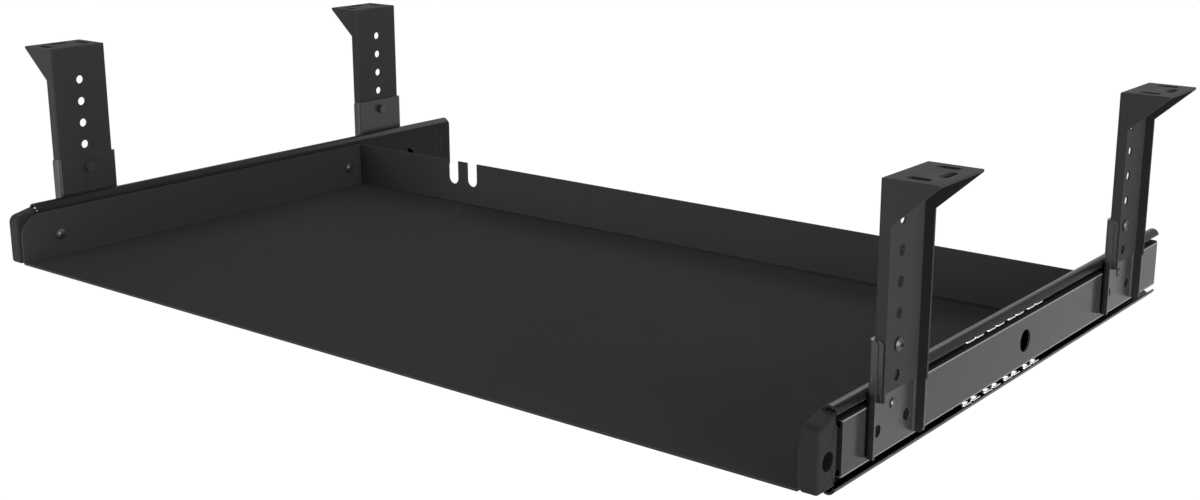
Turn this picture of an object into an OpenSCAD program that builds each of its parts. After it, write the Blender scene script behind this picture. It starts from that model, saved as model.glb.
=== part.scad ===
// Under-desk keyboard tray: folded steel tray on two ball bearing slides,
// hung from four height adjustable legs.
// Frame: x right, y back (the user sits at -y), z up. The desk underside is z = 0.
// The tray is shown pushed in.

/* [Tray] */
// Clear width between the two side walls
tray_inner_width = 561.8; // [400:0.1:800]
// Depth of the tray from its front edge to the outside of its back wall
tray_depth = 287; // [220:0.5:400]
// How far the tray's front edge stands in front of the middle of the legs
tray_front = 188.3; // [170:0.1:225]
// Distance of the tray's underside below the slides' middle
floor_drop = 15.8; // [14:0.1:20]
// Height of the side and back walls, floor sheet included
tray_wall_height = 30.8; // [20:0.1:60]
// Thickness of the tray sheet
tray_sheet = 1.2; // [0.8:0.1:2]
// Outer radius of the tray's folds
tray_fold_radius = 2; // [1.4:0.1:4]
// Radius of the side walls' upper front corners
tray_corner_radius = 14; // [2:0.5:25]
// Width of a cable notch in the back wall
notch_width = 9.4; // [4:0.1:20]
// Depth of a cable notch, from the top of the wall to the bottom of its round end
notch_depth = 17; // [6:0.5:25]
// Distance between the two cable notches
notch_spacing = 18; // [12:0.5:60]
// Distance of the notch pair from the middle of the tray, to the left
notch_offset = 175.9; // [40:0.1:250]

/* [Slides] */
// Height of the tray half of a slide
slide_height = 40.2; // [37:0.1:50]
// Depth of the tray half of a slide, across the travel
slide_depth = 9; // [9:0.1:14]
// Length of the tray half of a slide
slide_length = 370.7; // [340:0.1:500]
// How far the slides start behind the tray's front edge
slide_inset = 13.3; // [8:0.1:16]
// Distance of the slides' middle below the lower ends of the posts
slide_drop = 15.9; // [13:0.1:30]
// Sheet thickness of the tray half
slide_sheet = 1; // [0.8:0.1:1.2]
// Outer radius of the tray half's two folds beside the tray
slide_corner_radius = 3; // [1.6:0.1:4]
// Direction of the tray half's slanted shoulders, in degrees
shoulder_angle = 130; // [120:1:140]
// Direction in which the tray half's ball races end, in degrees
lip_angle = 5; // [5:1:25]
// How far the fixed half starts behind the tray half
rail_setback = 4.2; // [3.5:0.1:8]
// How far the fixed half ends in front of the tray half's rear end
rail_shortfall = 2; // [0:0.1:6]
// Sheet thickness of the fixed half
rail_sheet = 1; // [0.8:0.1:1.2]
// Outer radius of the fixed half's folds
rail_bend_radius = 1.5; // [1.4:0.1:2]
// Diameter of the access hole in the fixed half
access_hole_diameter = 12; // [6:0.5:16]
// Position of the access hole behind the middle of the legs
access_hole_y = 11; // [-60:0.5:60]
// Ball diameter
ball_diameter = 5.2; // [4.8:0.1:5.4]
// Gap between a ball and each of its two races
ball_gap = 0.1; // [0.05:0.01:0.2]
// Gap between the slide's tray half and the sleeves' inner faces
running_gap = 0.3; // [0.2:0.05:0.6]
// Direction in which the fixed half's ball races start, in degrees
race_start = 235; // [230:1:250]
// Length of slide that stays in when the tray is pulled out
hold_length = 150.7; // [130:0.1:190]
// Thickness of the tabs that stop the ball cages
stop_thickness = 1.2; // [0.8:0.1:2]
// Play between a stopped ball cage and each of its two tabs
stop_gap = 0.4; // [0.2:0.1:1]
// Height of the fixed half's end tab
end_tab_height = 18; // [8:0.5:20]
// Height of the tray half's stop tab
stop_tab_height = 8; // [4:0.5:10]
// Depth of the tray half's stop tab
stop_tab_depth = 6; // [3:0.1:6.4]
// Length of the window that the stop tab was bent out of
window_length = 7; // [4:0.1:10]
// Distance of the slit from the tray half's rear end
slit_inset = 12; // [6:0.5:14]
// Width of the slit near the tray half's rear end
slit_width = 1.2; // [0.8:0.1:2]
// Height of the slit
slit_height = 24; // [10:0.5:26]

/* [Ball cages] */
// Length of a ball cage
cage_length = 96; // [92:0.5:110]
// Distance of a cage's web from the tray's side wall
cage_offset = 2; // [1.9:0.1:2.4]
// Sheet thickness of a cage
cage_sheet = 0.6; // [0.4:0.05:0.8]
// Number of tabs on each of a cage's two edges
cage_tabs = 4; // [2:1:4]
// Length of a cage tab
tab_length = 18.6; // [16:0.1:20]
// How far a tab reaches past the middles of its balls
tab_overhang = 3.4; // [3:0.1:3.4]
// How far a tab's outer face lies inside the middles of its balls
tab_drop = 0.3; // [0.3:0.05:0.5]
// Distance from tab to tab
tab_pitch = 22.7; // [20.2:0.1:23.5]
// Distance between the two balls in a tab
ball_pitch = 9.6; // [7:0.1:10]

/* [Posts] */
// Width of a post
post_width = 40; // [30:0.5:60]
// Height of a post, from the desk to its lower end
post_height = 97.5; // [90:0.5:150]
// Sheet thickness of a post
post_sheet = 1.2; // [1:0.1:2]
// Outer radius of a post's folds
post_fold_radius = 1.6; // [1.6:0.1:3]
// Depth of a post's two flanges, web included
flange_depth = 6.1; // [4:0.1:12]
// Depth of a post's top plate, from the inside of the web to its free edge
plate_depth = 27.1; // [20:0.1:60]
// Radius of a top plate's two free corners
plate_corner_radius = 2; // [0.5:0.1:4]
// Height of the gussets below the desk
gusset_height = 20; // [8:0.1:40]
// Distance between the front and the rear posts
post_spacing = 260.6; // [180:0.1:290]
// Number of height holes in a post
height_holes = 6; // [5:1:6]
// Distance from hole to hole
height_pitch = 14; // [12:0.5:15]
// Distance of the lowest hole above the lower end of a post
last_hole = 6.3; // [5:0.1:10]
// Diameter of the height holes
height_hole_diameter = 5.3; // [3:0.1:7]
// Hole in which the height screw sits, counted upwards from the lowest, which is 0
screw_hole = 1; // [0:1:1]
// Length of a desk screw slot
desk_slot_length = 11.6; // [6:0.1:14]
// Width of a desk screw slot
desk_slot_width = 4.6; // [3:0.1:5.4]
// Distance of the two cross slots from each other
cross_slot_spacing = 26.6; // [18:0.1:34]
// Distance of the cross slots' middles from the inside of the web
cross_slot_x = 14; // [10:0.1:40]
// Length of the single slot that runs along the plate
edge_slot_length = 12; // [6:0.5:16]
// Distance of the single slot's middle from the inside of the web
edge_slot_x = 20.6; // [12:0.1:50]

/* [Sleeves] */
// Sheet thickness of a sleeve
sleeve_sheet = 1.4; // [1:0.1:2]
// Gap between a post and its sleeve
sleeve_gap = 0.1; // [0.05:0.05:0.4]
// How far a post reaches down into its sleeve
sleeve_overlap = 27.5; // [24:0.1:50]
// How far a sleeve reaches below the slides' middle
sleeve_reach = 10.2; // [6:0.1:12.5]
// Outer radius of a sleeve's folds
sleeve_fold_radius = 2.4; // [2:0.1:3]
// Depth of a sleeve's deep flange, web included
sleeve_flange = 6.6; // [4.5:0.1:10]
// Depth of a sleeve's stepped flange, web included
sleeve_lip = 4.3; // [3:0.1:6]
// Radius of a sleeve flange's upper corner
sleeve_corner_radius = 2.2; // [0.5:0.1:4]
// Radius of a sleeve's deep flange at its lower corner
sleeve_foot_radius = 3; // [0.5:0.1:4]
// Diameter of the two lower holes in a sleeve
sleeve_hole_diameter = 5.7; // [3:0.1:7]
// Distance of the two lower holes from each other
sleeve_hole_spacing = 26; // [16:0.5:30]
// Distance of the two lower holes below the slides' middle
sleeve_hole_drop = 0.1; // [0:0.1:2.5]

/* [Fasteners] */
// Shank diameter of the height screws
height_screw_diameter = 5; // [3:0.1:6]
// Head diameter of the height screws
height_screw_head = 6.6; // [6:0.1:11]
// Head height of the height screws
height_screw_head_height = 2.3; // [1.8:0.1:4]
// Diameter of the round nuts
nut_diameter = 6.4; // [6.2:0.1:9]
// Height of the round nuts
nut_height = 3; // [2:0.1:5]
// Shank diameter of the rail rivets
rivet_diameter = 3.2; // [3:0.1:3.6]
// Head diameter of the rail rivets
rivet_head = 4.8; // [4.6:0.1:6]
// Height of a rail rivet's dome
rivet_dome_height = 1.4; // [0.8:0.1:2.3]
// Height of a rail rivet's flat inner head
rivet_foot_height = 0.8; // [0.5:0.1:0.9]
// Distance of the rail rivets above the slides' middle
rivet_rise = 8.9; // [6:0.1:8.9]
// Shank diameter of the tray screws
tray_screw_diameter = 4; // [3:0.1:5]
// Head diameter of the tray screws
tray_screw_head = 6.8; // [5:0.1:10]
// Head height of the tray screws
tray_screw_head_height = 2.2; // [1.4:0.1:3]
// Width of the arms of a height screw's cross recess
height_recess_width = 0.9; // [0.5:0.1:1.2]
// Span of a height screw's cross recess
height_recess_span = 3.5; // [2.5:0.1:3.6]
// Depth of a height screw's cross recess
height_recess_depth = 1.2; // [0.6:0.1:1.4]
// Width of the arms of a tray screw's cross recess
tray_recess_width = 0.8; // [0.5:0.1:1]
// Span of a tray screw's cross recess
tray_recess_span = 3.2; // [2:0.1:3.4]
// Depth of a tray screw's cross recess
tray_recess_depth = 1; // [0.5:0.1:1]
// Distance of the front tray screws behind the tray's front edge
front_screw_inset = 26.8; // [20:0.1:60]
// Distance of the rear tray screws in front of the back wall's outer face
rear_screw_inset = 13.2; // [8:0.1:60]
// Distance of the tray screws below the middle of the slide
tray_screw_drop = 1.2; // [0:0.1:8]
// Radial gap round screw and rivet shanks in their clearance holes
shank_gap = 0.05; // [0.02:0.01:0.3]

/* [Bumpers] */
// Length of a bumper in front of its slide
bumper_length = 15.4; // [8:0.1:24]
// Height of a bumper at its rear
bumper_height = 31; // [28:0.5:35]
// Distance of a bumper's underside below the slides' middle
bumper_drop = 15.2; // [12:0.1:17.5]
// Gap between a bumper and the side wall, also how far it stands out past the slide
bumper_gap = 0.3; // [0.1:0.05:0.5]
// Drop of a bumper's top from rear to front
bumper_slope = 2.8; // [0:0.1:6]
// Radius of a bumper's upper front corner
bumper_nose_radius = 5; // [2:0.1:8]
// Radius of a bumper's other outer edges
bumper_edge_radius = 2; // [0.5:0.1:3]
// Diameter of the hole in a bumper's side
bumper_hole_diameter = 8.4; // [3:0.1:12]
// Depth of the hole in a bumper's side
bumper_hole_depth = 5; // [1:0.1:7]
// Distance of the hole in a bumper's side behind the bumper's front
bumper_hole_inset = 8.3; // [8:0.1:9]
// Distance of the hole in a bumper's side below the slides' middle
bumper_hole_drop = 1.8; // [0:0.1:5]
// Length of the plug that enters the slide
plug_length = 3.1; // [1:0.1:3.1]
// Thickness of the plug
plug_thickness = 6.4; // [4:0.1:6.6]
// Height of the plug
plug_height = 22; // [10:0.5:25]
// Gap between the plug and the slide's web
plug_gap = 0.15; // [0.1:0.05:0.3]

/* [Hidden] */
$fn = 48;
tiny = 0.01;
post_y = post_spacing / 2;
tray_outer = tray_inner_width / 2 + tray_sheet;
slide_outer = tray_outer + slide_depth;
rail_face = slide_outer + running_gap;
sleeve_face = rail_face + sleeve_sheet;
post_inner = sleeve_face + sleeve_gap;
slide_z = -post_height - slide_drop;
slide_front = tray_front - slide_inset;
slide_rear = slide_length - slide_front;
rail_front = slide_front - rail_setback;
rail_rear = slide_rear - rail_shortfall;
rail_rivet_z = slide_z + rivet_rise;
sleeve_hole_z = slide_z - sleeve_hole_drop;
sleeve_width = post_width + 2 * (sleeve_gap + sleeve_sheet);
sleeve_top = post_height - sleeve_overlap;
sleeve_bottom = sleeve_reach - slide_z;
tray_bottom = slide_z - floor_drop;
tray_rear = tray_depth - tray_front;
tray_top = tray_bottom + tray_wall_height;
race_radius = ball_diameter / 2 + ball_gap;
ball_h = slide_height / 2 - slide_sheet - race_radius;
ball_d = slide_depth - slide_sheet - race_radius;
rail_half_height = ball_h - race_radius;
rail_d = slide_depth + running_gap;
travel = slide_length - hold_length;
tab_top = ball_h - tab_drop;
tab_reach = ball_d + tab_overhang;
cage_front = rail_front - stop_thickness - travel / 2 - stop_gap;
cage_rear = cage_length - cage_front;
stop_y = cage_rear + travel / 2 + stop_gap;
end_tab_bite = 0.4;
window_end = 2;
height_hole_z = [for (i = [0 : height_holes - 1]) last_hole - post_height + i * height_pitch];
screw_z = height_hole_z[screw_hole];
tray_screw_z = slide_z - tray_screw_drop;
tray_screw_y = [front_screw_inset - tray_front, tray_rear - rear_screw_inset];
back_seam = 0.4;
bumper_inner = tray_outer + bumper_gap;
bumper_outer = slide_outer + bumper_gap;
bumper_bottom = slide_z - bumper_drop;
bumper_front = -slide_front - bumper_length;
steel = [0.2, 0.2, 0.21];
dark = [0.12, 0.12, 0.13];
bright = [0.72, 0.72, 0.74];

// Places its children on the right (side = 1) or mirrors them to the left (side = -1).
module on_side(side) {
    if (side > 0) children();
    else mirror([1, 0, 0]) children();
}

// Lays a flat shape drawn as (across, height) on end and sweeps it along y.
module sweep_y(from, to) {
    translate([0, to, 0])
        rotate([90, 0, 0])
            linear_extrude(height = to - from) children();
}

// Lays a flat shape drawn as (back, height) on end and sweeps it along x.
module sweep_x(from, to) {
    translate([from, 0, 0])
        rotate([90, 0, 90])
            linear_extrude(height = to - from) children();
}

// Rod along x.
module rod_x(diameter, from, to) {
    translate([from, 0, 0])
        rotate([0, 90, 0]) cylinder(d = diameter, h = to - from);
}

// Filled outline of a folded channel: web at x = 0, open towards +x.
module channel_outline(width, depth, radius) {
    translate([radius, -width / 2]) square([depth - radius, width]);
    translate([0, radius - width / 2]) square([radius, width - 2 * radius]);
    translate([radius, radius - width / 2]) circle(r = radius);
    translate([radius, width / 2 - radius]) circle(r = radius);
}

// Folded channel section.
module channel(width, depth, sheet, radius) {
    difference() {
        channel_outline(width, depth, radius);
        translate([sheet, 0])
            channel_outline(width - 2 * sheet, depth, radius - sheet);
    }
}

// Slot with round ends, its long side along y, cut through in z.
module slot_cut(length, width, height) {
    translate([0, length / 2 - width / 2, 0]) cylinder(d = width, h = height, center = true);
    translate([0, width / 2 - length / 2, 0]) cylinder(d = width, h = height, center = true);
    cube([width, length - width, height], center = true);
}

// Part of a ring between two angles less than 180 degrees apart.
module arc_strip(inner, outer, from, to) {
    far = 3 * outer;
    middle = (from + to) / 2;
    intersection() {
        difference() {
            circle(r = outer);
            circle(r = inner);
        }
        polygon([[0, 0], [far * cos(from), far * sin(from)],
                 [far * cos(middle), far * sin(middle)], [far * cos(to), far * sin(to)]]);
    }
}

// Posts

// Top plate with the web's folds at one end and round corners at the other.
module plate_outline() {
    r = plate_corner_radius;
    intersection() {
        channel_outline(post_width, plate_depth + 1, post_fold_radius);
        union() {
            translate([0, -post_width / 2]) square([plate_depth - r, post_width]);
            translate([0, r - post_width / 2]) square([plate_depth, post_width - 2 * r]);
            translate([plate_depth - r, r - post_width / 2]) circle(r = r);
            translate([plate_depth - r, post_width / 2 - r]) circle(r = r);
        }
    }
}

// Side view of a post: web, gusset and top plate.
module post_side() {
    polygon([[0, -post_height], [flange_depth, -post_height], [flange_depth, -gusset_height],
             [plate_depth, -post_sheet], [plate_depth, 0], [post_fold_radius, 0],
             [post_fold_radius, -post_fold_radius], [0, -post_fold_radius]]);
    translate([post_fold_radius, -post_fold_radius]) circle(r = post_fold_radius);
}

module post() {
    difference() {
        intersection() {
            union() {
                translate([0, 0, -post_height])
                    linear_extrude(height = post_height)
                        channel(post_width, plate_depth + 1, post_sheet, post_fold_radius);
                translate([0, 0, -post_sheet]) linear_extrude(height = post_sheet) plate_outline();
            }
            sweep_y(-post_width, post_width) post_side();
        }
        for (z = height_hole_z)
            translate([0, 0, z]) rod_x(height_hole_diameter, -1, post_sheet + 1);
        for (s = [-1, 1])
            translate([cross_slot_x, s * cross_slot_spacing / 2, -post_sheet / 2])
                rotate([0, 0, 90]) slot_cut(desk_slot_length, desk_slot_width, post_sheet + 1);
        translate([edge_slot_x, 0, -post_sheet / 2])
            slot_cut(edge_slot_length, desk_slot_width, post_sheet + 1);
    }
}

module place_post(side, end) {
    color(steel) on_side(side) translate([post_inner, end * post_y, 0]) post();
}

module post_front_left() { place_post(-1, -1); }
module post_front_right() { place_post(1, -1); }
module post_rear_left() { place_post(-1, 1); }
module post_rear_right() { place_post(1, 1); }

// Sleeves

// Side view of a sleeve flange with its round upper corner.
module sleeve_side(depth) {
    r = sleeve_corner_radius;
    foot = sleeve_foot_radius;
    polygon([[-1, -sleeve_bottom], [depth - foot, -sleeve_bottom], [depth - foot, foot - sleeve_bottom],
             [depth, foot - sleeve_bottom], [depth, -sleeve_top - r], [depth - r, -sleeve_top - r],
             [depth - r, -sleeve_top], [-1, -sleeve_top]]);
    translate([depth - r, -sleeve_top - r]) circle(r = r);
    translate([depth - foot, foot - sleeve_bottom]) circle(r = foot);
}

// The front flange of this one is stepped, the rear flange is deep over its whole height.
module sleeve() {
    step = sleeve_sheet / 2;
    half = sleeve_width / 2;
    difference() {
        translate([0, 0, -sleeve_bottom])
            linear_extrude(height = sleeve_bottom - sleeve_top)
                channel(sleeve_width, sleeve_flange, sleeve_sheet, sleeve_fold_radius);
        difference() {
            translate([-1, -half - 1, -sleeve_bottom - 1])
                cube([sleeve_flange + 2, sleeve_width + 2, sleeve_bottom - sleeve_top + 2]);
            sweep_y(-half - 2, half + 2) sleeve_side(sleeve_flange);
        }
        // the outer half of the front flange is set back beside the post ...
        difference() {
            translate([sleeve_sheet, -half - 1, -post_height])
                cube([sleeve_flange, 1 + step, post_height]);
            sweep_y(-half - 2, 0) sleeve_side(sleeve_lip);
        }
        // ... and cut away below it
        translate([sleeve_lip, -half - 1, -sleeve_bottom - 1])
            cube([sleeve_flange, 2 + sleeve_sheet, sleeve_bottom - post_height + 1]);
        translate([0, 0, screw_z]) rod_x(height_hole_diameter, -1, sleeve_sheet + 1);
        translate([0, 0, rail_rivet_z])
            rod_x(rivet_diameter + 2 * shank_gap, -1, sleeve_sheet + 1);
        for (s = [-1, 1])
            translate([0, s * sleeve_hole_spacing / 2, sleeve_hole_z])
                rod_x(sleeve_hole_diameter, -1, sleeve_sheet + 1);
    }
}

// The same sleeve is turned round for the left side.
module place_sleeve(side, end) {
    color(steel)
        translate([0, end * post_y, 0])
            rotate([0, 0, side > 0 ? 0 : 180])
                translate([rail_face, 0, 0]) sleeve();
}

module sleeve_front_left() { place_sleeve(-1, -1); }
module sleeve_front_right() { place_sleeve(1, -1); }
module sleeve_rear_left() { place_sleeve(-1, 1); }
module sleeve_rear_right() { place_sleeve(1, 1); }

// Slides

// Upper half of the fixed rail's section: web, fold and ball race.
module rail_half_section() {
    bend_h = rail_half_height - rail_bend_radius;
    translate([rail_d - rail_sheet, 0]) square([rail_sheet, bend_h]);
    translate([rail_d - rail_bend_radius, bend_h])
        arc_strip(rail_bend_radius - rail_sheet, rail_bend_radius, 0, 90);
    translate([ball_d, rail_half_height - rail_sheet])
        square([rail_d - rail_bend_radius - ball_d, rail_sheet]);
    translate([ball_d, ball_h])
        arc_strip(race_radius, race_radius + rail_sheet, race_start, 270);
}

module rail_section() {
    rail_half_section();
    mirror([0, 1]) rail_half_section();
}

module fixed_rail() {
    tab_d = cage_offset + cage_sheet - end_tab_bite;
    difference() {
        translate([tray_outer, 0, slide_z]) {
            sweep_y(-rail_front, rail_rear) rail_section();
            // end tab that stops the ball cage when the tray is pulled out
            translate([tab_d, -rail_front, -end_tab_height / 2])
                cube([rail_d - tab_d - rail_sheet / 2, stop_thickness, end_tab_height]);
        }
        for (s = [-1, 1]) {
            translate([0, s * post_y, rail_rivet_z])
                rod_x(rivet_diameter + 2 * shank_gap, rail_face - 2, rail_face + 1);
            for (e = [-1, 1])
                translate([0, s * post_y + e * sleeve_hole_spacing / 2, sleeve_hole_z])
                    rod_x(sleeve_hole_diameter, rail_face - 2, rail_face + 1);
        }
        translate([0, access_hole_y, slide_z])
            rod_x(access_hole_diameter, rail_face - 2, rail_face + 1);
    }
}

module fixed_rail_left() { color(steel) on_side(-1) fixed_rail(); }
module fixed_rail_right() { color(steel) on_side(1) fixed_rail(); }

// Upper half of the tray rail's section: web, fold, slanted shoulder and curled race.
module slide_half_section() {
    r = slide_corner_radius;
    normal = [cos(shoulder_angle), sin(shoulder_angle)];
    race = [ball_d, ball_h];
    race_outer = race_radius + slide_sheet;
    fold = [r, (normal * race + race_outer - r - normal[0] * r) / normal[1]];
    square([slide_sheet, fold[1]]);
    translate(fold) arc_strip(r - slide_sheet, r, shoulder_angle, 180);
    polygon([fold + (r - slide_sheet) * normal, fold + r * normal,
             race + race_outer * normal, race + race_radius * normal]);
    translate(race) arc_strip(race_radius, race_outer, lip_angle, shoulder_angle);
}

module slide_section() {
    slide_half_section();
    mirror([0, 1]) slide_half_section();
}

module tray_rail() {
    window = stop_y + stop_thickness;
    difference() {
        translate([tray_outer, 0, slide_z]) {
            sweep_y(-slide_front, slide_rear) slide_section();
            // tab that catches the ball cage when the tray is pulled out
            translate([0, stop_y, -stop_tab_height / 2])
                cube([stop_tab_depth, stop_thickness, stop_tab_height]);
        }
        for (y = tray_screw_y)
            translate([0, y, tray_screw_z])
                rod_x(tray_screw_diameter + 2 * shank_gap, tray_outer - 1, tray_outer + 2);
        // window that the tab was bent out of
        translate([0, 0, slide_z])
            sweep_x(tray_outer - 1, tray_outer + slide_sheet + tiny)
                polygon([[window, -stop_tab_height / 2], [window + window_length, -window_end / 2],
                         [window + window_length, window_end / 2], [window, stop_tab_height / 2]]);
        // slit near the rear end
        translate([tray_outer - 1, slide_rear - slit_inset, slide_z - slit_height / 2])
            cube([slide_sheet + 1 + tiny, slit_width, slit_height]);
    }
}

module tray_rail_left() { color(steel) on_side(-1) tray_rail(); }
module tray_rail_right() { color(steel) on_side(1) tray_rail(); }

// Ball cages

function tab_y(i) = -cage_front + cage_length / 2 + (i - (cage_tabs - 1) / 2) * tab_pitch;

module ball_places() {
    for (i = [0 : cage_tabs - 1])
        for (s = [-1, 1])
            for (h = [-1, 1])
                translate([tray_outer + ball_d, tab_y(i) + s * ball_pitch / 2, slide_z + h * ball_h])
                    children();
}

module ball_cage() {
    difference() {
        union() {
            translate([tray_outer + cage_offset, -cage_front, slide_z - tab_top])
                cube([cage_sheet, cage_length, 2 * tab_top]);
            for (i = [0 : cage_tabs - 1])
                for (h = [tab_top - cage_sheet, -tab_top])
                    translate([tray_outer + cage_offset, tab_y(i) - tab_length / 2, slide_z + h])
                        cube([tab_reach - cage_offset, tab_length, cage_sheet]);
        }
        ball_places() cylinder(r = race_radius, h = 4, center = true);
    }
}

module ball_cage_left() { color(bright) on_side(-1) ball_cage(); }
module ball_cage_right() { color(bright) on_side(1) ball_cage(); }

module balls() {
    ball_places() sphere(d = ball_diameter);
}

module balls_left() { color(bright) on_side(-1) balls(); }
module balls_right() { color(bright) on_side(1) balls(); }

// Tray

// Filled outline of the tray across its width.
module tray_outline(half, bottom, radius) {
    translate([-half, bottom + radius]) square([2 * half, tray_top - bottom - radius + 1]);
    translate([radius - half, bottom]) square([2 * (half - radius), radius + tiny]);
    translate([radius - half, bottom + radius]) circle(r = radius);
    translate([half - radius, bottom + radius]) circle(r = radius);
}

// Side view of the tray: square at the back, round at the upper front corner.
module tray_side() {
    r = tray_corner_radius;
    polygon([[-tray_front, tray_bottom - 1], [tray_rear, tray_bottom - 1], [tray_rear, tray_top],
             [r - tray_front, tray_top], [r - tray_front, tray_top - r], [-tray_front, tray_top - r]]);
    translate([r - tray_front, tray_top - r]) circle(r = r);
}

// Section of the back wall and the fold below it, drawn as (back, height).
module back_section() {
    r = tray_fold_radius;
    translate([tray_rear - tray_sheet, tray_bottom + r])
        square([tray_sheet, tray_top - tray_bottom - r]);
    translate([tray_rear - r, tray_bottom + r]) arc_strip(r - tray_sheet, r, 270, 360);
}

module tray_pan() {
    r = tray_fold_radius;
    half = tray_outer;
    back_half = tray_inner_width / 2 - back_seam;
    color(steel)
        difference() {
            union() {
                intersection() {
                    sweep_y(-tray_front, tray_rear)
                        difference() {
                            tray_outline(half, tray_bottom, r);
                            tray_outline(half - tray_sheet, tray_bottom + tray_sheet, r - tray_sheet);
                        }
                    sweep_x(-half - 1, half + 1) tray_side();
                }
                sweep_x(-back_half, back_half) back_section();
            }
            // the floor stops where the back fold starts
            translate([-back_half, tray_rear - r, tray_bottom - 1])
                cube([2 * back_half, r + 1, 1 + tray_sheet / 6]);
            for (s = [-1, 1])
                translate([-notch_offset + s * notch_spacing / 2, tray_rear - tray_sheet / 2, 0]) {
                    translate([0, 0, tray_top - notch_depth + notch_width / 2])
                        rotate([90, 0, 0])
                            cylinder(d = notch_width, h = tray_sheet + 1, center = true);
                    translate([-notch_width / 2, -tray_sheet / 2 - 0.5,
                               tray_top - notch_depth + notch_width / 2])
                        cube([notch_width, tray_sheet + 1, notch_depth]);
                }
            for (y = tray_screw_y)
                translate([0, y, tray_screw_z]) {
                    rod_x(tray_screw_diameter + 2 * shank_gap, half - 3, half + 1);
                    rod_x(tray_screw_diameter + 2 * shank_gap, -half - 1, 3 - half);
                }
        }
}

// Fasteners

// Low dome on a flat seat, pointing along +x from x = 0.
module dome(diameter, height) {
    edge = height * 0.35;
    rise = height - edge;
    big = (diameter * diameter / 4 + rise * rise) / (2 * rise);
    rotate([0, 90, 0])
        rotate_extrude()
            intersection() {
                square([diameter / 2, height]);
                translate([0, height - big]) circle(r = big, $fn = 96);
            }
}

module height_screws() {
    color(dark)
        for (side = [-1, 1])
            for (end = [-1, 1])
                on_side(side) translate([0, end * post_y, screw_z]) {
                    difference() {
                        translate([post_inner + post_sheet, 0, 0])
                            dome(height_screw_head, height_screw_head_height);
                        // cross recess
                        for (a = [0, 90])
                            translate([post_inner + post_sheet + height_screw_head_height, 0, 0])
                                rotate([a, 0, 0])
                                    cube([2 * height_recess_depth, height_recess_span,
                                          height_recess_width], center = true);
                    }
                    rod_x(height_screw_diameter, rail_face - nut_height, post_inner + post_sheet + tiny);
                }
}

module height_nuts() {
    color(dark)
        for (side = [-1, 1])
            for (end = [-1, 1])
                on_side(side) translate([0, end * post_y, screw_z])
                    difference() {
                        rod_x(nut_diameter, rail_face - nut_height, rail_face);
                        rod_x(height_screw_diameter + 2 * shank_gap, rail_face - nut_height - 1,
                              rail_face + 1);
                    }
}

module rail_rivets() {
    color(dark)
        for (side = [-1, 1])
            for (end = [-1, 1])
                on_side(side) translate([0, end * post_y, rail_rivet_z]) {
                    translate([sleeve_face, 0, 0]) dome(rivet_head, rivet_dome_height);
                    rod_x(rivet_diameter, rail_face - rail_sheet - tiny, sleeve_face + tiny);
                    rod_x(rivet_head, rail_face - rail_sheet - rivet_foot_height, rail_face - rail_sheet);
                }
}

module tray_screws() {
    color(dark)
        for (side = [-1, 1])
            for (y = tray_screw_y)
                on_side(side) translate([0, y, tray_screw_z]) {
                    difference() {
                        translate([tray_inner_width / 2, 0, 0])
                            mirror([1, 0, 0]) dome(tray_screw_head, tray_screw_head_height);
                        for (a = [0, 90])
                            translate([tray_inner_width / 2 - tray_screw_head_height, 0, 0])
                                rotate([a, 0, 0])
                                    cube([2 * tray_recess_depth, tray_recess_span,
                                          tray_recess_width], center = true);
                    }
                    rod_x(tray_screw_diameter, tray_inner_width / 2 - tiny, tray_outer + slide_sheet);
                }
}

// Bumpers

// Side view of a bumper, drawn as (back, height).
module bumper_side() {
    front = bumper_front;
    nose = bumper_nose_radius;
    r = bumper_edge_radius;
    top = bumper_bottom + bumper_height;
    front_top = top - bumper_slope;
    polygon([[front + r, bumper_bottom], [-slide_front, bumper_bottom], [-slide_front, top],
             [front + nose, front_top], [front + nose, front_top - nose], [front, front_top - nose],
             [front, bumper_bottom + r], [front + r, bumper_bottom + r]]);
    translate([front + nose, front_top - nose]) circle(r = nose);
    translate([front + r, bumper_bottom + r]) circle(r = r);
}

// Top view of a bumper, its two front edges rounded.
module bumper_plan() {
    r = bumper_edge_radius;
    width = bumper_outer - bumper_inner;
    translate([bumper_inner, bumper_front + r]) square([width, bumper_length - r]);
    translate([bumper_inner + r, bumper_front]) square([width - 2 * r, bumper_length]);
    translate([bumper_inner + r, bumper_front + r]) circle(r = r);
    translate([bumper_outer - r, bumper_front + r]) circle(r = r);
}

module bumper() {
    difference() {
        union() {
            intersection() {
                sweep_x(bumper_inner - 1, bumper_outer + 1) bumper_side();
                translate([0, 0, bumper_bottom - 1])
                    linear_extrude(height = bumper_height + 2) bumper_plan();
            }
            translate([tray_outer + slide_sheet + plug_gap, -slide_front - tiny,
                       slide_z - plug_height / 2])
                cube([plug_thickness, plug_length, plug_height]);
        }
        translate([0, bumper_front + bumper_hole_inset, slide_z - bumper_hole_drop])
            rod_x(bumper_hole_diameter, bumper_outer - bumper_hole_depth, bumper_outer + 1);
    }
}

module bumper_left() { color(dark) on_side(-1) bumper(); }
module bumper_right() { color(dark) on_side(1) bumper(); }

// Drawing

post_front_left();
post_front_right();
post_rear_left();
post_rear_right();
sleeve_front_left();
sleeve_front_right();
sleeve_rear_left();
sleeve_rear_right();
fixed_rail_left();
fixed_rail_right();
height_screws();
height_nuts();
rail_rivets();
tray_pan();
tray_rail_left();
tray_rail_right();
bumper_left();
bumper_right();
tray_screws();
ball_cage_left();
ball_cage_right();
balls_left();
balls_right();
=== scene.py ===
"""Under-desk keyboard tray of folded sheet steel on two ball bearing slides, hung from four legs."""
import logging
import math
from dataclasses import dataclass
from enum import Enum
from typing import Any, Callable, Optional, Sequence, Union

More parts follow.
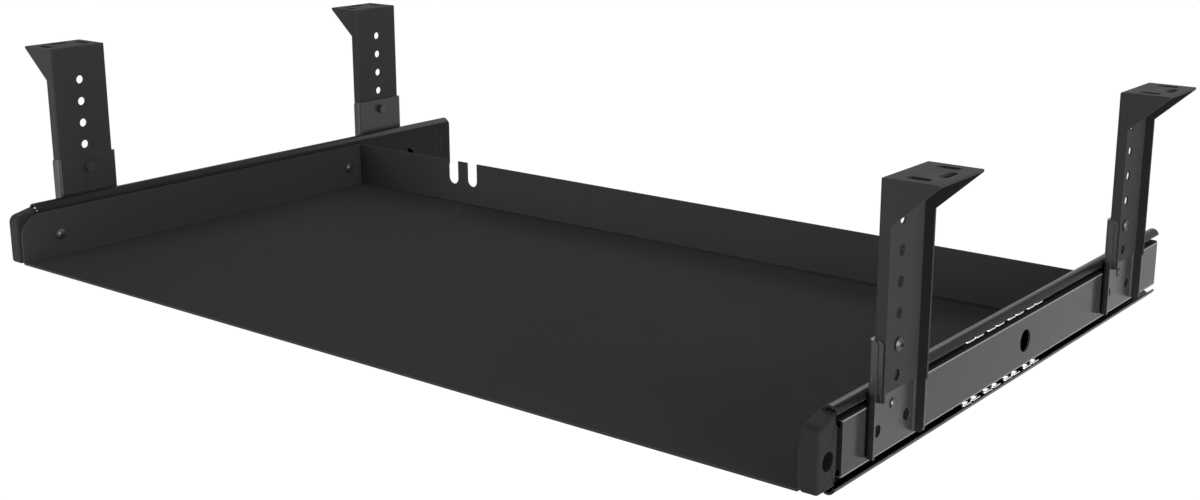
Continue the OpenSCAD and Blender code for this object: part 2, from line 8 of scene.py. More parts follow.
import bmesh
import bpy
from mathutils import Euler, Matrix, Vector


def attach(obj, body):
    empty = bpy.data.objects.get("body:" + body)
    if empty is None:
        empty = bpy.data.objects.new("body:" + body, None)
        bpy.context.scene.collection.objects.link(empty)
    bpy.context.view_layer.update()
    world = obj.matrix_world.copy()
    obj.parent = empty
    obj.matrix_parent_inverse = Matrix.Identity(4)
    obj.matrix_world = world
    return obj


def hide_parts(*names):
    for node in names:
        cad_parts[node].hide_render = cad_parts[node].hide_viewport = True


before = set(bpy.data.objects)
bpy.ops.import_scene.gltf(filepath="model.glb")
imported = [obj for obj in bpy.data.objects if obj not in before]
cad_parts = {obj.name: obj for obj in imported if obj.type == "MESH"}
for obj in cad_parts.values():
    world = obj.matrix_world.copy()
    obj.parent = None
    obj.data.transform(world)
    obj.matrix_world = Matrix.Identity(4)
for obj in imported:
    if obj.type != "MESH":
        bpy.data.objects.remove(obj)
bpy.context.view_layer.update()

log = logging.getLogger("keyboard_tray")
MM = 0.001
Flat = tuple[float, float]
Place = tuple[float, float, float]
Point = Sequence[float]
Operand = Union["Wire", float]
Socket = Union[str, int]


class Side(Enum):
    """Left or right half of the tray, with the sign of its x."""

    LEFT = -1
    RIGHT = 1

    @property
    def word(self) -> str:
        """The side's name as the nodes spell it."""
        return self.name.lower()


class End(Enum):
    """Front or rear pair of legs, as the nodes spell it."""

    FRONT = "front"
    REAR = "rear"


class Body(Enum):
    """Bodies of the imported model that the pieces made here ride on."""

    TRAY = "tray"
    CAGE_LEFT = "cage_left"
    CAGE_RIGHT = "cage_right"


class Slot(Enum):
    """Material slots of the record that stand for the pieces made here."""

    BUMPER = "bumper_plastic"
    CAGE = "cage_steel"


class Wire:
    """One output socket of a material's nodes, with arithmetic that adds Math nodes."""

    def __init__(self, board: "NodeBoard", socket: Optional[bpy.types.NodeSocket]) -> None:
        """Keeps the socket, if the node has one, and the board that its nodes go on."""
        self.board = board
        self.socket = socket

    def _math(self, operation: str, *values: Operand) -> "Wire":
        """Adds a Math node.

        Args:
            operation: Blender's name of the operation.
            values: numbers or wires for its inputs.

        Returns:
            The wire of its result.
        """
        return self.board.node("ShaderNodeMath", {"operation": operation}, dict(enumerate(values)))

    def __add__(self, other: Operand) -> "Wire":
        """Sum."""
        return self._math("ADD", self, other)

    __radd__ = __add__

    def __sub__(self, other: Operand) -> "Wire":
        """Difference."""
        return self._math("SUBTRACT", self, other)

    def __rsub__(self, other: Operand) -> "Wire":
        """Difference, reflected."""
        return self._math("SUBTRACT", other, self)

    def __mul__(self, other: Operand) -> "Wire":
        """Product."""
        return self._math("MULTIPLY", self, other)

    __rmul__ = __mul__

    def clamp(self) -> "Wire":
        """The value kept between 0 and 1."""
        return self.board.node("ShaderNodeClamp", {}, {0: self})


class NodeBoard:
    """The node tree of one material or of the world."""

    def __init__(self, tree: bpy.types.NodeTree) -> None:
        """Empties the tree.

        Args:
            tree: the tree to build in.
        """
        self.tree = tree
        tree.nodes.clear()

    def node(self, kind: str, settings: dict[str, Any], inputs: dict[Socket, Any],
             output: Socket = 0) -> Wire:
        """Adds a node, sets it up and links it.

        Args:
            kind: Blender's type of the node.
            settings: attributes to set first.
            inputs: numbers, tuples or wires by socket name or index.
            output: name or index of the output that is returned.

        Returns:
            The wire of that output.
        """
        made = self.tree.nodes.new(kind)
        for name, value in settings.items():
            setattr(made, name, value)
        for name, value in inputs.items():
            if isinstance(value, Wire):
                self.tree.links.new(value.socket, made.inputs[name])
            else:
                made.inputs[name].default_value = value
        return Wire(self, made.outputs[output] if len(made.outputs) else None)

    def noise(self, place: Wire, scale: float, detail: float = 2.0, roughness: float = 0.5) -> Wire:
        """Noise between 0 and 1.

        Args:
            place: the coordinates.
            scale: repeats in a metre.
            detail: number of octaves.
            roughness: strength of the finer octaves.

        Returns:
            The wire of the value.
        """
        return self.node("ShaderNodeTexNoise", {},
                         {"Vector": place, "Scale": scale, "Detail": detail, "Roughness": roughness})

    def ramp(self, value: Operand, low: float, high: float, start: float = 0.0,
             end: float = 1.0) -> Wire:
        """Stretches a value from one range to another, clamped.

        Args:
            value: what is stretched.
            low: value that gives start.
            high: value that gives end.
            start: result at low.
            end: result at high.

        Returns:
            The wire of the result.
        """
        return self.node("ShaderNodeMapRange", {},
                         {"Value": value, "From Min": low, "From Max": high, "To Min": start, "To Max": end})

    def blend(self, factor: Operand, first: Any, second: Any) -> Wire:
        """Mixes two colours.

        Args:
            factor: share of the second.
            first: colour or wire.
            second: colour or wire.

        Returns:
            The wire of the colour.
        """
        return self.node("ShaderNodeMix", {"data_type": "RGBA"}, {0: factor, 6: first, 7: second}, 2)


def grey(value: float) -> tuple[float, float, float, float]:
    """A neutral colour.

    Args:
        value: linear brightness.

    Returns:
        Red, green, blue and alpha.
    """
    return (value, value, value, 1.0)


@dataclass(frozen=True)
class Finish:
    """What every finish shares: edges lightened as wear and as painted highlight lines, and the fine
    unevenness of a handled surface.
    """

    name: str
    colour: float
    roughness: float
    specular: float = 0.5
    metallic: float = 0.0
    edge_wear_and_highlight_colour: float = 0.06
    edge_width: float = 0.3 * MM
    edge_wear_and_highlight_strength: float = 0.4
    grain_scale: float = 2600.0
    grain_depth: float = 0.05 * MM
    grain_strength: float = 0.3
    mottle: float = 0.05
    smudge: float = 0.04
    cloud_scale: float = 9.0
    streak_scale: float = 70.0
    chip_scale: float = 160.0
    bevel_samples: int = 4

    def material(self) -> bpy.types.Material:
        """Builds the finish once.

        Returns:
            The material.
        """
        known = bpy.data.materials.get(self.name)
        if known:
            return known
        made = bpy.data.materials.new(self.name)
        made.use_nodes = True
        board = NodeBoard(made.node_tree)
        place = board.node("ShaderNodeTexCoord", {}, {}, "Object")
        wear_and_highlight_mask = self._edge_wear_and_highlight(board, place)
        height, sparkle = self._grain(board, place)
        cloud = board.noise(place, self.cloud_scale, 3.0)
        streak = board.noise(place, self.streak_scale, 4.0, 0.6)
        colour = board.blend(board.ramp(cloud * 0.6 + streak * 0.4, 0.35, 0.65),
                             grey(self.colour * (1 - self.mottle)), grey(self.colour * (1 + self.mottle)))
        colour = board.blend(sparkle, colour, grey(min(1.0, self.colour * 1.6 + 0.01)))
        # Edges lightened: partly rubbed wear, partly a painted highlight that stands for the bright lines
        # light draws along edges.
        colour = board.blend(wear_and_highlight_mask, colour, grey(self.edge_wear_and_highlight_colour))
        roughness = board.ramp(streak, 0.3, 0.7, self.roughness - self.smudge, self.roughness + self.smudge)
        roughness = roughness - wear_and_highlight_mask * min(0.15, self.roughness * 0.3)
        colour, roughness = self._paint_light_and_shade(board, place, colour, roughness)
        normal = board.node("ShaderNodeBump", {},
                            {"Height": height, "Distance": self.grain_depth, "Strength": self.grain_strength,
                             "Normal": self._rounded(board, self.edge_width * 0.6)})
        shader = board.node("ShaderNodeBsdfPrincipled", {},
                            {"Base Color": colour, "Roughness": roughness.clamp(), "Metallic": self.metallic,
                             "Specular IOR Level": self.specular, "Normal": normal})
        board.node("ShaderNodeOutputMaterial", {}, {"Surface": shader})
        return made

    def _paint_light_and_shade(self, board: NodeBoard, place: Wire, colour: Wire, roughness: Wire) -> tuple[Wire, Wire]:
        """Leaves colour and roughness as they are; finishes with painted light and shade change them here.

        Args:
            board: the material's nodes.
            place: the coordinates.
            colour: the colour before painted light and shade.
            roughness: the roughness before painted light and shade.

        Returns:
            The wires of the colour and of the roughness.
        """
        return colour, roughness

    def _rounded(self, board: NodeBoard, radius: float) -> Wire:
        """The surface's normal with its edges rounded.

        Args:
            board: the material's nodes.
            radius: radius of the edges, in metres.

        Returns:
            The wire of the normal.
        """
        return board.node("ShaderNodeBevel", {"samples": self.bevel_samples}, {"Radius": radius})

    def _edge_wear_and_highlight(self, board: NodeBoard, place: Wire) -> Wire:
        """Mask of the edges lightened as wear and as painted highlight lines: where the rounded normal
        leaves the face's own.

        Args:
            board: the material's nodes.
            place: the coordinates.

        Returns:
            The wire of the mask.
        """
        rounded = self._rounded(board, self.edge_width)
        flat = board.node("ShaderNodeNewGeometry", {}, {}, "Normal")
        same = board.node("ShaderNodeVectorMath", {"operation": "DOT_PRODUCT"},
                          {0: rounded, 1: flat}, "Value")
        broken = board.ramp(board.noise(place, self.chip_scale, 4.0, 0.7), 0.35, 0.6, 0.25, 1.0)
        return (board.ramp(1 - same, 0.02, 0.2) * broken * self.edge_wear_and_highlight_strength).clamp()

    def _grain(self, board: NodeBoard, place: Wire) -> tuple[Wire, Wire]:
        """Height of the fine texture and a mask of its lighter specks.

        Args:
            board: the material's nodes.
            place: the coordinates.

        Returns:
            The wires of the height and of the mask.
        """
        fine = board.noise(place, self.grain_scale, 3.0, 0.6)
        coarse = board.noise(place, self.grain_scale * 0.35, 2.0)
        return fine * 0.6 + coarse * 0.4, board.ramp(fine, 0.58, 0.75, 0.0, 0.35)


@dataclass(frozen=True)
class TurnedFinish(Finish):
    """Turned or drawn metal whose fine marks run along the slides."""

    lines: float = 1800.0
    stretch: Place = (1.0, 0.06, 1.0)

    def _grain(self, board: NodeBoard, place: Wire) -> tuple[Wire, Wire]:
        """Height of fine parallel marks and a mask of scratches.

        Args:
            board: the material's nodes.
            place: the coordinates.

        Returns:
            The wires of the height and of the mask.
        """
        stretched = board.node("ShaderNodeMapping", {}, {"Vector": place, "Scale": self.stretch})
        marks = board.noise(stretched, self.lines, 4.0, 0.7)
        return marks, board.ramp(marks, 0.55, 0.8, 0.0, 0.3)


@dataclass(frozen=True)
class RailShadeAndHighlightFinish(Finish):
    """Slide steel with painted shade darkening the ball races above and below the web and a painted
    highlight along the web's rims.
    """

    middle: float = -113.4 * MM
    unshaded_height: float = 12.7 * MM
    rim_start: float = 0.7 * MM
    rim_full: float = 0.4 * MM
    rim_strength: float = 0.6
    race_shade_fade: float = 0.2 * MM
    race_shade_colour: float = 0.002

    def _paint_light_and_shade(self, board: NodeBoard, place: Wire, colour: Wire, roughness: Wire) -> tuple[Wire, Wire]:
        """Paints shade on what lies above and below the web and a highlight along the web's rims.

        Args:
            board: the material's nodes.
            place: the coordinates.
            colour: the colour before painted light and shade.
            roughness: the roughness before painted light and shade.

        Returns:
            The wires of the colour and of the roughness.
        """
        height = board.node("ShaderNodeSeparateXYZ", {}, {0: place}, "Z")
        away = board.node("ShaderNodeMath", {"operation": "ABSOLUTE"}, {0: height - self.middle})
        race_shade = board.ramp(away, self.unshaded_height, self.unshaded_height + self.race_shade_fade)
        # Painted highlight: a light line along the web's rims, standing for the light that the folds catch.
        rim = board.ramp(away, self.unshaded_height - self.rim_start, self.unshaded_height - self.rim_full,
                         0.0, self.rim_strength)
        colour = board.blend(rim, colour, grey(self.edge_wear_and_highlight_colour))
        # Painted shade: the races above and below the web are turned near black, standing for the shadowed
        # gap between the rails.
        return board.blend(race_shade, colour, grey(self.race_shade_colour)), (roughness + race_shade * 0.7).clamp()


class Palette:
    """The finishes of this tray."""

    leg = Finish("leg powder coat", 0.03, 0.62, specular=0.05, edge_wear_and_highlight_colour=0.1, edge_wear_and_highlight_strength=0.6)
    sleeve = Finish("sleeve powder coat", 0.025, 0.3, specular=0.36, edge_wear_and_highlight_colour=0.14,
                    edge_wear_and_highlight_strength=0.7)
    tray = Finish("tray powder coat", 0.034, 0.72, specular=0.02, edge_wear_and_highlight_colour=0.11, edge_wear_and_highlight_strength=0.8,
                  edge_width=0.4 * MM, grain_scale=2100.0)
    rail = RailShadeAndHighlightFinish("coated slide steel", 0.028, 0.2, specular=0.16, edge_wear_and_highlight_colour=0.28,
                         edge_wear_and_highlight_strength=0.8, grain_strength=0.1, grain_scale=900.0)
    outer_rail = Finish("dull slide steel", 0.01, 0.26, specular=0.08, edge_wear_and_highlight_colour=0.3,
                        edge_wear_and_highlight_strength=0.9, grain_strength=0.1, grain_scale=900.0)
    screw = TurnedFinish("black zinc screw", 0.05, 0.36, metallic=0.6, edge_wear_and_highlight_colour=0.12, edge_wear_and_highlight_strength=0.6)
    rivet = TurnedFinish("black zinc rivet", 0.07, 0.25, metallic=0.7, edge_wear_and_highlight_colour=0.2, edge_wear_and_highlight_strength=0.6)
    bumper = Finish("moulded bumper", 0.017, 0.6, specular=0.07, edge_wear_and_highlight_colour=0.06, edge_wear_and_highlight_strength=0.5,
                    grain_scale=1500.0, grain_strength=0.35, grain_depth=0.08 * MM)
    cage = TurnedFinish("zinc plated cage", 0.85, 0.26, metallic=1.0, edge_wear_and_highlight_colour=0.9,
                        edge_width=0.2 * MM)
    ball = Finish("polished ball", 0.85, 0.08, metallic=1.0, edge_wear_and_highlight_colour=0.85, edge_wear_and_highlight_strength=0.0,
                  smudge=0.03, mottle=0.04, grain_strength=0.02)


def dress(node: str, finish: Finish) -> None:
    """Gives a carried-over node its finish.

    Args:
        node: name of the CAD node.
        finish: the finish it takes.
    """
    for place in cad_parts[node].material_slots:
        place.material = finish.material()
    log.info("dressed %s with %s", node, finish.name)


def arc(centre: Flat, radius: float, start: float, end: float, steps: int) -> list[Flat]:
    """Points along an arc.

    Args:
        centre: its centre.
        radius: its radius.
        start: direction of the first point, in degrees.
        end: direction of the last point, in degrees.
        steps: number of chords.

    Returns:
        The points.
    """
    turns = [math.radians(start + (end - start) * i / steps) for i in range(steps + 1)]
    return [(centre[0] + radius * math.cos(t), centre[1] + radius * math.sin(t)) for t in turns]


def round_box(low: Flat, high: Flat, radius: float) -> list[Flat]:
    """Outline of a rectangle with round corners, anticlockwise.

    Args:
        low: its lower left corner.
        high: its upper right corner.
        radius: radius of its corners.

    Returns:
        The points.
    """
    left, right = low[0] + radius, high[0] - radius
    bottom, top = low[1] + radius, high[1] - radius
    return (arc((right, bottom), radius, -90, 0, 4) + arc((right, top), radius, 0, 90, 4)
            + arc((left, top), radius, 90, 180, 4) + arc((left, bottom), radius, 180, 270, 4))


def inset(outline: Sequence[Flat], distance: float) -> list[Flat]:
    """Moves every edge of an anticlockwise outline inwards.

    Args:
        outline: its points.
        distance: how far the edges move.

    Returns:
        The points of the smaller outline, as many as before.
    """
    made = []
    for i, here in enumerate(outline):
        before, after = Vector(outline[i - 1]), Vector(outline[(i + 1) % len(outline)])
        first = (Vector(here) - before).normalized()
        second = (after - Vector(here)).normalized()
        bisector = Vector((-first.y - second.y, first.x + second.x)).normalized()
        reach = distance / max(0.3, bisector.dot(Vector((-first.y, first.x))))
        made.append((here[0] + bisector.x * reach, here[1] + bisector.y * reach))
    return made


def divide(outline: Sequence[Flat], step: float) -> list[Flat]:
    """Splits the long edges of an outline.

    Args:
        outline: its points.
        step: longest edge that is left whole.

    Returns:
        The points with those added.
    """
    made = []
    for i, here in enumerate(outline):
        after = outline[(i + 1) % len(outline)]
        pieces = max(1, math.ceil(math.dist(here, after) / step))
        across, along = after[0] - here[0], after[1] - here[1]
        made += [(here[0] + across * k / pieces, here[1] + along * k / pieces) for k in range(pieces)]
    return made


class Form:
    """A mesh in the making, in millimetres."""

    weld_distance = 0.002
    crease_angle = 35.0

    def __init__(self) -> None:
        """Starts empty."""
        self.mesh = bmesh.new()

    def loft(self, rings: Sequence[Sequence[Point]], closed: bool = False) -> None:
        """Joins rings of equally many points and closes the first and last one.

        Args:
            rings: the rings, from one end to the other.
            closed: whether the last ring joins the first one instead.
        """
        made = [[self.mesh.verts.new(point) for point in ring] for ring in rings]
        pairs = list(zip(made, made[1:])) + ([(made[-1], made[0])] if closed else [])
        for low, high in pairs:
            for i in range(len(low)):
                j = (i + 1) % len(low)
                self.mesh.faces.new([low[i], low[j], high[j], high[i]])
        if not closed:
            self.mesh.faces.new(made[0][::-1])
            self.mesh.faces.new(made[-1])

    def lathe(self, profile: Sequence[Flat], centre: Point, axis: Point, across: Point,
              steps: int) -> None:
        """Turns a closed profile round an axis.

        Args:
            profile: pairs of radius and height along the axis.
            centre: where the height is 0.
            axis: direction of the height.
            across: any direction at right angles to the axis.
            steps: faces round the axis.
        """
        middle, up, side = Vector(centre), Vector(axis), Vector(across)
        other = up.cross(side)
        turns = [2 * math.pi * i / steps for i in range(steps)]
        self.loft([[middle + up * height + (side * math.cos(turn) + other * math.sin(turn)) * radius
                    for turn in turns] for radius, height in profile], closed=True)

    def plate(self, outline: Sequence[Flat], holes: Sequence[Sequence[Flat]], thickness: float, edge: float,
              place: Callable[[float, float, float], Point]) -> None:
        """Adds a flat sheet with holes, its edges slightly rounded.

        Args:
            outline: the sheet's outline, anticlockwise.
            holes: outlines of its holes.
            thickness: thickness of the sheet, centred on w = 0.
            edge: radius of its edges.
            place: turns (u, v, w) into a point.
        """
        curve = bpy.data.curves.new("sheet", "CURVE")
        curve.dimensions = "2D"
        curve.fill_mode = "BOTH"
        curve.extrude = thickness / 2 - edge
        curve.bevel_depth = edge
        curve.bevel_resolution = 1
        curve.offset = -edge
        for loop in [outline, *holes]:
            spline = curve.splines.new("POLY")
            spline.points.add(len(loop) - 1)
            for point, (u, v) in zip(spline.points, loop):
                point.co = (u, v, 0, 1)
            spline.use_cyclic_u = True
        carrier = bpy.data.objects.new("sheet", curve)
        sheet = carrier.to_mesh()
        made = [self.mesh.verts.new(place(*corner.co)) for corner in sheet.vertices]
        for polygon in sheet.polygons:
            corners = [made[i] for i in polygon.vertices]
            if self.mesh.faces.get(corners) is None:
                self.mesh.faces.new(corners)
        carrier.to_mesh_clear()
        bpy.data.objects.remove(carrier)
        bpy.data.curves.remove(curve)

    def finish(self, name: str, body: Body, slot: Slot, finish: Finish, replaces: str) -> None:
        """Turns the form into a piece that rides on a body.

        Args:
            name: name of the piece.
            body: the body it rides on.
            slot: not used.
            finish: the finish it takes.
            replaces: CAD node that it stands for.
        """
        bmesh.ops.remove_doubles(self.mesh, verts=self.mesh.verts, dist=self.weld_distance)
        bmesh.ops.scale(self.mesh, vec=(MM,) * 3, verts=self.mesh.verts)
        bmesh.ops.recalc_face_normals(self.mesh, faces=self.mesh.faces)
        data = bpy.data.meshes.new(name)
        self.mesh.to_mesh(data)
        self.mesh.free()
        data.shade_smooth()
        data.set_sharp_from_angle(angle=math.radians(self.crease_angle))
        piece = bpy.data.objects.new(name, data)
        bpy.context.scene.collection.objects.link(piece)
        data.materials.append(finish.material())
        even = piece.modifiers.new("even shading", "WEIGHTED_NORMAL")
        even.keep_sharp = True
        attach(piece, body.value)
        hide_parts(replaces)
        log.info("built %s on %s", name, body.value)


@dataclass
class Legs:
    """Four posts in their sleeves, with the screws, nuts and rivets that hold them."""

    def dress(self) -> None:
        """Gives the posts, sleeves and small parts their finishes."""
        for side in Side:
            for end in End:
                dress(f"post_{end.value}_{side.word}", Palette.leg)
                dress(f"sleeve_{end.value}_{side.word}", Palette.sleeve)
        dress("height_screws", Palette.screw)
        dress("height_nuts", Palette.screw)
        dress("rail_rivets", Palette.rivet)


@dataclass
class Slides:
    """Two ball bearing slides."""

    def dress(self) -> None:
        """Gives the rails, cages and balls their finishes."""
        for side in Side:
            dress(f"fixed_rail_{side.word}", Palette.rail)
            dress(f"tray_rail_{side.word}", Palette.outer_rail)
            Cage(side).build()
            dress(f"balls_{side.word}", Palette.ball)


@dataclass
class Cage:
    """Stamped sheet that keeps the balls of one slide apart, in millimetres.

    The crimp's points are pairs of distance past the pocket's rim and height off the sheet's middle.
    """

    side: Side
    web: float = 284.1
    sheet: float = 0.6
    front: float = -59.2
    length: float = 96.0
    middle_z: float = -113.4
    half_height: float = 16.1
    ball_x: float = 287.4
    reach: float = 290.8
    tabs: int = 4
    tab_pitch: float = 22.7
    tab_length: float = 18.6
    ball_pitch: float = 9.6
    pocket: float = 2.68
    notch: float = 1.2
    notch_set_back: float = 0.2
    notch_turn: float = 99.6
    ball_steps: int = 24
    fold: float = 1.0
    sheet_edge: float = 0.1
    web_corner: float = 2.0
    tab_corner: float = 1.2
    crimp: tuple[Flat, ...] = ((0.12, 0.1), (0.1, 0.5), (-0.1, 1.05), (-0.22, 1.05), (-0.02, 0.5),
                               (0.0, 0.1))

    def build(self) -> None:
        """Makes the web, the folded tabs and the crimped ball pockets."""
        form = Form()
        sign = self.side.value
        middle = self.front + self.length / 2
        web_half = self.half_height - self.fold + self.sheet

        def upright(u: float, v: float, w: float) -> Point:
            """Places a point of the web: u back, v up, w across."""
            return (sign * (self.web + self.sheet / 2 + w), u, self.middle_z + v)

        web = round_box((self.front, -web_half), (self.front + self.length, web_half), self.web_corner)
        form.plate(web, [], self.sheet, self.sheet_edge, upright)
        for up in (-1, 1):
            for i in range(self.tabs):
                self._tab(form, middle + (i - (self.tabs - 1) / 2) * self.tab_pitch, up)
        body = Body.CAGE_RIGHT if self.side is Side.RIGHT else Body.CAGE_LEFT
        form.finish(f"stamped_cage_{self.side.word}", body, Slot.CAGE, Palette.cage,
                    f"ball_cage_{self.side.word}")

    def _tab(self, form: Form, middle: float, up: int) -> None:
        """Adds one tab with its fold and its two pockets.

        Args:
            form: the mesh.
            middle: where the tab's middle lies along the slide.
            up: 1 for the upper edge, -1 for the lower one.
        """
        sign = self.side.value
        level = self.middle_z + up * (self.half_height - self.sheet / 2)
        half = self.tab_length / 2
        balls = [middle - self.ball_pitch / 2, middle + self.ball_pitch / 2]

        def flat(u: float, v: float, w: float) -> Point:
            """Places a point of the tab: u across, v back, w up."""
            return (sign * u, v, level + w)

        corner = self.tab_corner
        outline = ([(self.web + self.fold, middle + half), (self.web + self.fold, middle - half)]
                   + arc((self.reach - corner, middle - half + corner), corner, -90, 0, 4)
                   + arc((self.reach + self.notch_set_back, middle), self.notch,
                         360 - self.notch_turn, self.notch_turn, 8)
                   + arc((self.reach - corner, middle + half - corner), corner, 0, 90, 4))
        holes = [arc((self.ball_x, ball), self.pocket, 0, 337.5, 15) for ball in balls]
        form.plate(outline, holes, self.sheet, self.sheet_edge, flat)
        bend = (self.web + self.fold, self.middle_z + up * (self.half_height - self.fold))
        strip = (arc((0, 0), self.fold, 180, 90, 5) + arc((0, 0), self.fold - self.sheet, 90, 180, 5))
        form.loft([[(sign * (bend[0] + u), middle + end * half, bend[1] + up * v) for u, v in strip]
                   for end in (-1, 1)])
        profile = [(self.pocket + past, height) for past, height in self.crimp]
        for ball in balls:
            form.lathe(profile, (sign * self.ball_x, ball, level), (0, 0, -up), (1, 0, 0), self.ball_steps)


@dataclass
class Bumper:
    """Moulded end piece in front of a slide, with its plug and its screw pocket, in millimetres.

    The rim's points are pairs of distance past the pocket's radius and depth.
    """

    side: Side
    inner: float = 282.4
    outer: float = 291.4
    front: float = -190.4
    rear: float = -175.0
    bottom: float = -128.6
    height: float = 32.8
    slope: float = 2.2
    nose: float = 5.0
    foot: float = 2.4
    edge: float = 1.6
    edge_steps: int = 5
    corner: float = 0.8
    longest_edge: float = 2.5
    pocket_radius: float = 4.2
    pocket_depth: float = 5.0
    pocket_fillet: float = 0.4
    pocket_rim: tuple[Flat, ...] = ((0.5, 0.0), (0.2, 0.1), (0.0, 0.5))
    pocket_place: Flat = (-182.1, -115.2)
    plug_inner_gap: float = 0.85
    plug_outer_gap: float = 1.75
    plug_bottom: float = -124.4
    plug_top: float = -102.4
    plug_corner: float = 0.6
    plug_stations: tuple[Flat, ...] = ((-0.5, 0.0), (2.7, 0.0), (3.1, 0.4))

    def outline(self) -> list[Flat]:
        """The bumper seen from its side.

        Returns:
            Its points as pairs of back and up, anticlockwise.
        """
        top = self.bottom + self.height
        nose_place = (self.front + self.nose, top - self.slope - self.nose)
        foot_place = (self.front + self.foot, self.bottom + self.foot)
        corner = self.corner
        return divide(arc((self.rear - corner, self.bottom + corner), corner, -90, 0, 3)
                      + arc((self.rear - corner, top - corner), corner, 0, 90, 3)
                      + arc(nose_place, self.nose, 95, 180, 8)
                      + arc(foot_place, self.foot, 180, 270, 6), self.longest_edge)

    def build(self) -> None:
        """Makes the body with its round edges, the pocket and the plug."""
        form = Form()
        sign = self.side.value
        around = self.outline()

        def ring(points: Sequence[Flat], across: float) -> list[Point]:
            """Places a ring of points at one distance from the middle of the tray."""
            return [(sign * across, u, v) for u, v in points]

        swing = [math.radians(90 * k / self.edge_steps) for k in range(self.edge_steps + 1)]
        rounding = [(self.edge * (1 - math.sin(a)), self.edge * (1 - math.cos(a))) for a in swing]
        rings = [ring(inset(around, inwards), self.inner + deep) for inwards, deep in rounding]
        rings += [ring(inset(around, inwards), self.outer - deep) for inwards, deep in reversed(rounding)]
        floor = ((0.0, self.pocket_depth - self.pocket_fillet), (-self.pocket_fillet, self.pocket_depth))
        for past, depth in self.pocket_rim + floor:
            rings.append(ring(self._pocket(around, self.pocket_radius + past), self.outer - depth))
        form.loft(rings)
        plug = round_box((self.inner + self.plug_inner_gap, self.plug_bottom),
                         (self.outer - self.plug_outer_gap, self.plug_top), self.plug_corner)
        form.loft([[(sign * u, self.rear + back, v) for u, v in inset(plug, shrink)]
                   for back, shrink in self.plug_stations])
        form.finish(f"moulded_bumper_{self.side.word}", Body.TRAY, Slot.BUMPER, Palette.bumper,
                    f"bumper_{self.side.word}")

    def _pocket(self, around: Sequence[Flat], radius: float) -> list[Flat]:
        """Round outline with a point for each point of the bumper's outline.

        Args:
            around: the bumper's outline.
            radius: radius of the round one.

        Returns:
            The points.
        """
        middle = Vector(self.pocket_place)
        return [tuple(middle + (Vector(point) - middle).normalized() * radius) for point in around]


@dataclass
class Tray:
    """The folded tray with its screws and bumpers."""

    def dress(self) -> None:
        """Gives the tray and its screws their finishes."""
        dress("tray_pan", Palette.tray)
        dress("tray_screws", Palette.screw)
        for side in Side:
            Bumper(side).build()


def turned_to(direction: Vector) -> Euler:
    """The turn that points a camera or lamp in a direction."""
    return direction.to_track_quat("-Z", "Y").to_euler()


@dataclass(frozen=True)
class Lamp:
    """A soft rectangular lamp, in metres and watts."""

    name: str
    place: Place
    size: Flat
    power: float
    aim: Place

    def hang(self) -> None:
        """Adds the lamp to the scene."""
        data = bpy.data.lights.new(self.name, "AREA")
        data.shape = "RECTANGLE"
        data.size, data.size_y = self.size
        data.energy = self.power
        made = bpy.data.objects.new(self.name, data)
        made.location = self.place
        made.rotation_euler = turned_to(Vector(self.aim) - Vector(self.place))
        bpy.context.scene.collection.objects.link(made)


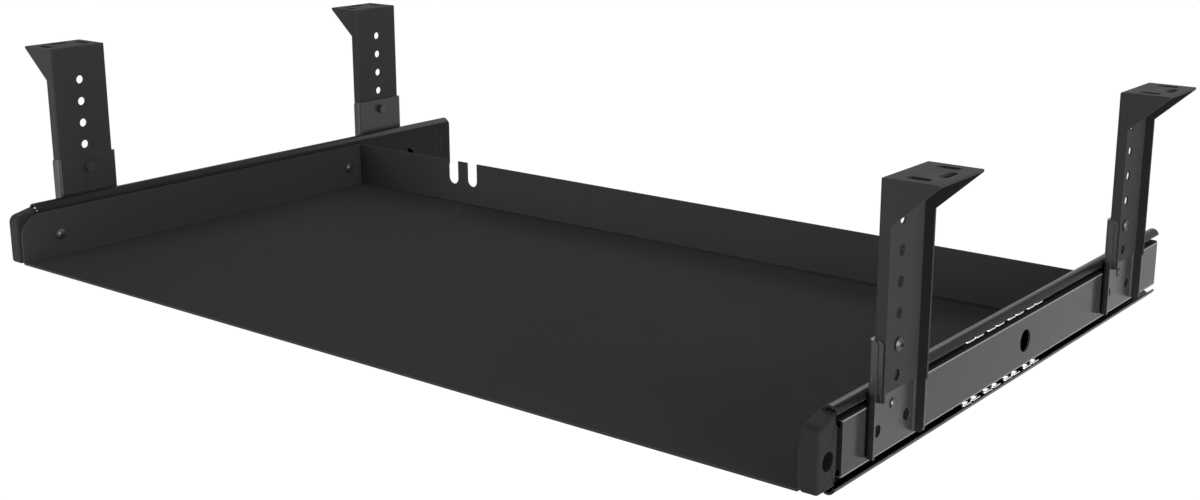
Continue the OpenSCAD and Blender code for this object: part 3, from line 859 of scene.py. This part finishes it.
@dataclass
class Studio:
    """Camera, lamps, floor and world, in metres."""

    camera_place: Place = (0.6056, -0.7290, 0.1462)
    camera_direction: Place = (-0.5964, 0.7637, -0.2468)
    lens: float = 48.65
    shift: Flat = (-0.0104, -0.0236)
    view_end: float = 60.0
    floor_drop: float = 0.72
    floor_reach: float = 14.0
    floor_grey: float = 0.9
    floor_glow: float = 1.1
    floor_glow_share: float = 0.9
    world_strength: float = 0.2
    lamps: tuple[Lamp, ...] = (
        Lamp("right", (2.6, -0.5, 0.2), (1.5, 1.5), 70.0, (0.0, 0.0, -0.08)),
        Lamp("left", (-0.45, -1.05, -0.02), (0.4, 0.3), 9.8, (-0.1, -0.1, -0.05)),
        Lamp("rear", (-0.3, 1.3, 0.9), (0.6, 0.6), 4.0, (0.1, 0.0, -0.13)),
        Lamp("top", (0.3, 0.3, 1.7), (0.3, 0.3), 6.0, (0.1, 0.0, -0.1)),
    )

    def camera(self) -> None:
        """Places the camera where the photograph was taken from."""
        data = bpy.data.cameras.new("camera")
        data.lens = self.lens
        data.sensor_width = 36.0
        data.shift_x, data.shift_y = self.shift
        data.clip_end = self.view_end
        made = bpy.data.objects.new("camera", data)
        made.location = self.camera_place
        made.rotation_euler = turned_to(Vector(self.camera_direction))
        bpy.context.scene.collection.objects.link(made)
        bpy.context.scene.camera = made

    @staticmethod
    def seen_directly(board: NodeBoard) -> Wire:
        """Mask that is 1 for the camera and for mirror and glass rays.

        Args:
            board: the nodes to add to.

        Returns:
            The wire of the mask.
        """
        seen = board.node("ShaderNodeLightPath", {}, {}, "Is Camera Ray")
        for name in ("Is Glossy Ray", "Is Transmission Ray"):
            seen = seen + board.node("ShaderNodeLightPath", {}, {}, name)
        return seen.clamp()

    def world(self) -> None:
        """White where it is seen, a plain level of light elsewhere."""
        made = bpy.data.worlds.new("studio")
        made.use_nodes = True
        bpy.context.scene.world = made
        board = NodeBoard(made.node_tree)
        seen = self.seen_directly(board)
        shown = board.node("ShaderNodeBackground", {}, {"Color": grey(1.0), "Strength": 1.0})
        fill = board.node("ShaderNodeBackground", {}, {"Color": grey(1.0), "Strength": self.world_strength})
        mixed = board.node("ShaderNodeMixShader", {}, {0: seen, 1: fill, 2: shown})
        board.node("ShaderNodeOutputWorld", {}, {"Surface": mixed})

    def floor(self) -> None:
        """Lays a plain pale floor under the desk."""
        form = bmesh.new()
        bmesh.ops.create_grid(form, x_segments=2, y_segments=2, size=self.floor_reach)
        data = bpy.data.meshes.new("floor")
        form.to_mesh(data)
        form.free()
        made = bpy.data.objects.new("floor", data)
        made.location = (0, 0, -self.floor_drop)
        bpy.context.scene.collection.objects.link(made)
        paint = bpy.data.materials.new("floor paint")
        paint.use_nodes = True
        board = NodeBoard(paint.node_tree)
        lit = board.node("ShaderNodeBsdfDiffuse", {}, {"Color": grey(self.floor_grey)})
        glow = board.node("ShaderNodeEmission", {}, {"Color": grey(1.0), "Strength": self.floor_glow})
        share = self.seen_directly(board) * self.floor_glow_share
        mixed = board.node("ShaderNodeMixShader", {}, {0: share, 1: lit, 2: glow})
        board.node("ShaderNodeOutputMaterial", {}, {"Surface": mixed})
        data.materials.append(paint)

    def build(self) -> None:
        """Sets up the whole studio."""
        self.camera()
        self.world()
        self.floor()
        for lamp in self.lamps:
            lamp.hang()
        bpy.context.scene.view_settings.view_transform = "Standard"


def main() -> None:
    """Builds and dresses the tray and the studio round it."""
    logging.basicConfig(level=logging.INFO, format="%(name)s: %(message)s")
    Studio().build()
    for part in (Legs(), Slides(), Tray()):
        part.dress()


if __name__ == "__main__":
    main()
